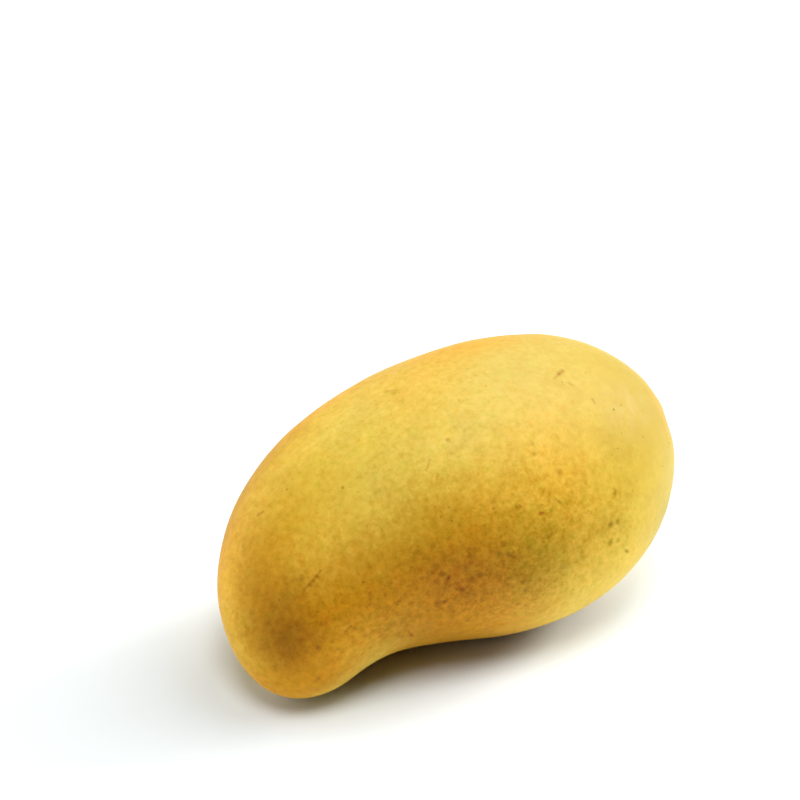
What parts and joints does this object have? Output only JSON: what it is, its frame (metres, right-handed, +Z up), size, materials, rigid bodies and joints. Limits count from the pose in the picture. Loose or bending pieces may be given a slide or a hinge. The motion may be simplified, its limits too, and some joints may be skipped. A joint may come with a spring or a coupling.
{
  "type": "mango",
  "caption": "Ripe long yellow mango with a curved nose, lying on its flank on a small flat spot, with the dry stub of its stem.",
  "frame": {"origin": "on the floor, under the middle of the lying fruit's box", "axes": "+X along the fruit from its nose to its stem, +Z up, -Y the side that its belly edge faces"},
  "size_m": [0.1178, 0.0674, 0.0645],
  "materials": {
    "mango_skin": "satin waxy fruit skin, golden yellow with olive and ochre clouds, fine dark dots and small brown scars",
    "stem_wood": "matte, dry and nearly black, rough where it broke off"
  },
  "bodies": {
    "root": {"mango_fruit": "mango_skin", "stem_stub": "stem_wood"}
  },
  "joints": []
}
